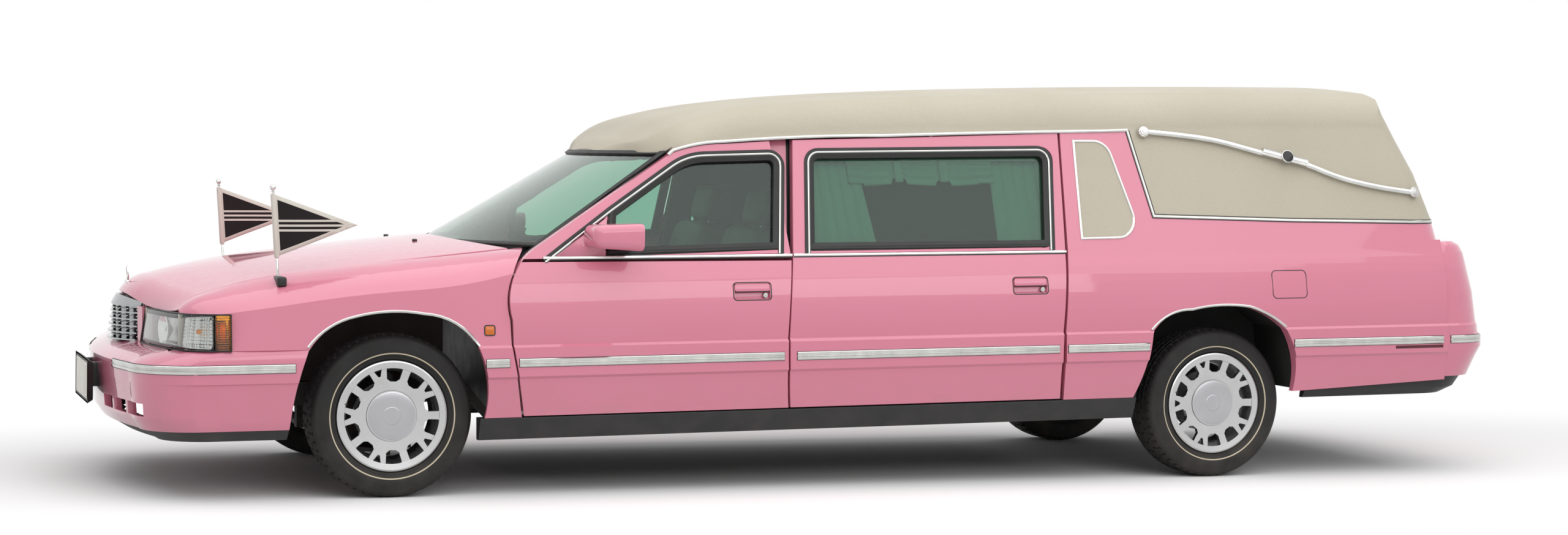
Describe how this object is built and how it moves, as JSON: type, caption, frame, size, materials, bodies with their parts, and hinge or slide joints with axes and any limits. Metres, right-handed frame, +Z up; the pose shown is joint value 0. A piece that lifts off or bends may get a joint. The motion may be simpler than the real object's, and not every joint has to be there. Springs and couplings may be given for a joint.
{
  "type": "hearse",
  "caption": "Long low hearse with a vinyl-covered roof, curved side bars, opening doors, a steering front axle and pennants on the front wings.",
  "frame": {"origin": "centre of the bounding box in plan, at ground level", "axes": "+X forward, +Y to the car's left, +Z up"},
  "size_m": [6.2476, 2.17, 1.7572],
  "materials": {
    "paint": "gloss pink body paint",
    "vinyl": "grained vinyl roof covering, cream",
    "glass": "lightly tinted glass",
    "lens": "clear moulded lens",
    "amber": "amber and red moulded lenses",
    "chrome": "bright chrome plate",
    "alloy": "machined and lacquered alloy",
    "tyre": "black rubber, worn tread",
    "black": "black moulded plastic",
    "steel": "black chassis paint",
    "iron": "cast iron",
    "trim": "dark grey upholstery",
    "board": "satin painted floor",
    "cloth": "pennant cloth on plated staffs"
  },
  "bodies": {
    "body": {"chassis": "steel", "dashboard": "black", "engine": "iron", "fenders": "paint", "firewall": "black", "flags": "cloth", "floor_pan": "board", "front_bumper": "paint", "grille": "chrome", "headlamps": "lens", "landau_bars": "chrome", "load_deck": "board", "number_plate": "black", "pillars": "paint", "quarters": "paint", "rear_axle": "steel", "rear_bumper": "paint", "roof": "vinyl", "seats": "trim", "signal_lamps": "amber", "sills": "black", "tank_and_exhaust": "steel", "windscreen": "glass"},
    "hood": {"hood": "paint"},
    "loading_door": {"loading_door": "paint", "loading_pane": "glass"},
    "front_door_left": {"front_door_left": "paint", "front_pane_left": "glass"},
    "front_wheel_left": {"wheel_front_left": "alloy", "tyre_front_left": "tyre"},
    "front_door_right": {"front_door_right": "paint", "front_pane_right": "glass"},
    "front_wheel_right": {"wheel_front_right": "alloy", "tyre_front_right": "tyre"},
    "rear_door_left": {"rear_door_left": "paint", "rear_pane_left": "glass"},
    "rear_wheel_left": {"wheel_rear_left": "alloy", "tyre_rear_left": "tyre"},
    "rear_door_right": {"rear_door_right": "paint", "rear_pane_right": "glass"},
    "rear_wheel_right": {"wheel_rear_right": "alloy", "tyre_rear_right": "tyre"},
    "knuckle_left": {"knuckle_left": "iron"},
    "knuckle_right": {"knuckle_right": "iron"}
  },
  "joints": [
    {"name": "hood_hinge", "type": "hinge", "parent": "body", "child": "hood", "pos_m": [1.4401, 0, 1.00881], "axis": [0, -1, 0], "range_deg": [0, 55]},
    {"name": "front_door_left_hinge", "type": "hinge", "parent": "body", "child": "front_door_left", "pos_m": [1.45966, 0.955, 0.65846], "axis": [-0.0155, 0, -0.9999], "range_deg": [0, 65]},
    {"name": "rear_door_left_hinge", "type": "hinge", "parent": "body", "child": "rear_door_left", "pos_m": [0.3208, 0.955, 0.67616], "axis": [-0.0155, 0, -0.9999], "range_deg": [0, 65]},
    {"name": "front_door_right_hinge", "type": "hinge", "parent": "body", "child": "front_door_right", "pos_m": [1.45966, -0.955, 0.65846], "axis": [0.0155, 0, 0.9999], "range_deg": [0, 65]},
    {"name": "rear_door_right_hinge", "type": "hinge", "parent": "body", "child": "rear_door_right", "pos_m": [0.3208, -0.955, 0.67616], "axis": [0.0155, 0, 0.9999], "range_deg": [0, 65]},
    {"name": "loading_door_hinge", "type": "hinge", "parent": "body", "child": "loading_door", "pos_m": [-3.07708, 0.604, 0.83895], "axis": [-0.0155, 0, -0.9999], "range_deg": [0, 95]},
    {"name": "steer_left", "type": "hinge", "parent": "body", "child": "knuckle_left", "pos_m": [1.9995, 0.735, 0.328], "axis": [0, 0, 1], "range_deg": [-32, 32]},
    {"name": "steer_right", "type": "hinge", "parent": "body", "child": "knuckle_right", "pos_m": [1.9995, -0.735, 0.328], "axis": [0, 0, 1], "range_deg": [-32, 32]},
    {"name": "front_wheel_left_spin", "type": "hinge", "parent": "knuckle_left", "child": "front_wheel_left", "pos_m": [1.9995, 0.7735, 0.328], "axis": [0, 1, 0], "continuous": true},
    {"name": "front_wheel_right_spin", "type": "hinge", "parent": "knuckle_right", "child": "front_wheel_right", "pos_m": [1.9995, -0.7735, 0.328], "axis": [0, 1, 0], "continuous": true},
    {"name": "rear_wheel_left_spin", "type": "hinge", "parent": "body", "child": "rear_wheel_left", "pos_m": [-1.6805, 0.7735, 0.328], "axis": [0, 1, 0], "continuous": true},
    {"name": "rear_wheel_right_spin", "type": "hinge", "parent": "body", "child": "rear_wheel_right", "pos_m": [-1.6805, -0.7735, 0.328], "axis": [0, 1, 0], "continuous": true}
  ],
  "couplings": [
    {"joint": "steer_right", "follows": "steer_left", "ratio": 1}
  ]
}
